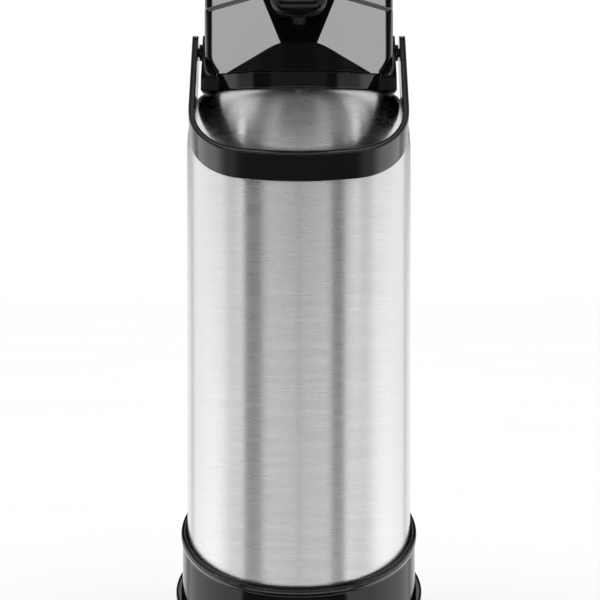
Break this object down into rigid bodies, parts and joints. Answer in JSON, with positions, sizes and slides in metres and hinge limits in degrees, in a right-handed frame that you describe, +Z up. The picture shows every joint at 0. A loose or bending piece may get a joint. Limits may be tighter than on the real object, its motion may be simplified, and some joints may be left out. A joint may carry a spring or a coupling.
{
  "type": "thermal coffee airpot",
  "caption": "Pump airpot with a brushed steel body, tiered black base with rising rims, faceted black pump head with spout, and a swinging bail handle.",
  "frame": {"origin": "on the jug's vertical axis at the level it stands on", "axes": "+Z up along the jug's axis, -Y towards the spout and the handle's grip at rest, +X to the right seen from the spout side"},
  "size_m": [0.128, 0.138, 0.357],
  "materials": {
    "gloss_black": "high gloss moulded ABS, piano black",
    "satin_black": "fine satin moulded polypropylene",
    "handle_black": "semi-gloss moulded polypropylene strap",
    "casing_steel": "stainless steel brushed round the body",
    "silvered_glass": "silvered blown glass",
    "clear_plastic": "natural translucent polypropylene",
    "inner_plastic": "plain grey polypropylene",
    "seal_silicone": "food-grade silicone",
    "pad_rubber": "soft black rubber, slightly ribbed",
    "pin_steel": "bright drawn steel"
  },
  "bodies": {
    "foot": {"foot_pad": "pad_rubber", "turntable_foot": "satin_black", "spindle_washer": "pin_steel"},
    "jug": {"base_skirt": "gloss_black", "base_shell": "gloss_black", "bottle_cup": "inner_plastic", "bottle_cushion": "pad_rubber", "steel_casing": "casing_steel", "outer_bottle": "silvered_glass", "inner_bottle": "silvered_glass", "neck_gasket": "seal_silicone", "shoulder_collar": "gloss_black", "tube_holder": "clear_plastic", "dip_tube": "clear_plastic", "lid_hinge_pin": "pin_steel"},
    "bail": {"bail_handle": "handle_black", "pivot_pin_left": "satin_black", "pivot_pin_right": "satin_black", "pivot_washer_left": "satin_black", "pivot_washer_right": "satin_black"},
    "head": {"head_housing": "gloss_black", "top_cover": "gloss_black", "stopper": "inner_plastic", "stopper_gasket": "seal_silicone", "tube_seal": "seal_silicone", "spout_tube": "clear_plastic", "spout_nozzle": "gloss_black", "bellows": "pad_rubber", "return_spring": "pin_steel", "air_valve": "pad_rubber"},
    "button": {"pump_plate": "inner_plastic", "push_button": "gloss_black"},
    "catch": {"front_catch": "gloss_black"},
    "lock": {"lock_slider": "satin_black"}
  },
  "joints": [
    {"name": "swivel", "type": "hinge", "parent": "foot", "child": "jug", "pos_m": [0, 0, 0.005], "axis": [0, 0, 1], "continuous": true},
    {"name": "bail_swing", "type": "hinge", "parent": "jug", "child": "bail", "pos_m": [0, 0, 0.309], "axis": [-1, 0, 0], "range_deg": [0, 265]},
    {"name": "head_open", "type": "hinge", "parent": "jug", "child": "head", "pos_m": [0, 0.0515, 0.3015], "axis": [-1, 0, 0], "range_deg": [0, 95]},
    {"name": "button_press", "type": "slide", "parent": "head", "child": "button", "axis": [0, 0, -1], "range_m": [0, 0.018], "stiffness_N_per_m": 400, "springref_m": -0.004, "deforming": ["bellows", "return_spring"]},
    {"name": "catch_pull", "type": "hinge", "parent": "head", "child": "catch", "pos_m": [0, -0.036, 0.325], "axis": [-1, 0, 0], "range_deg": [0, 10], "stiffness_Nm_per_rad": 0.1},
    {"name": "lock_slide", "type": "slide", "parent": "head", "child": "lock", "axis": [0, -1, 0], "range_m": [0, 0.004]}
  ]
}
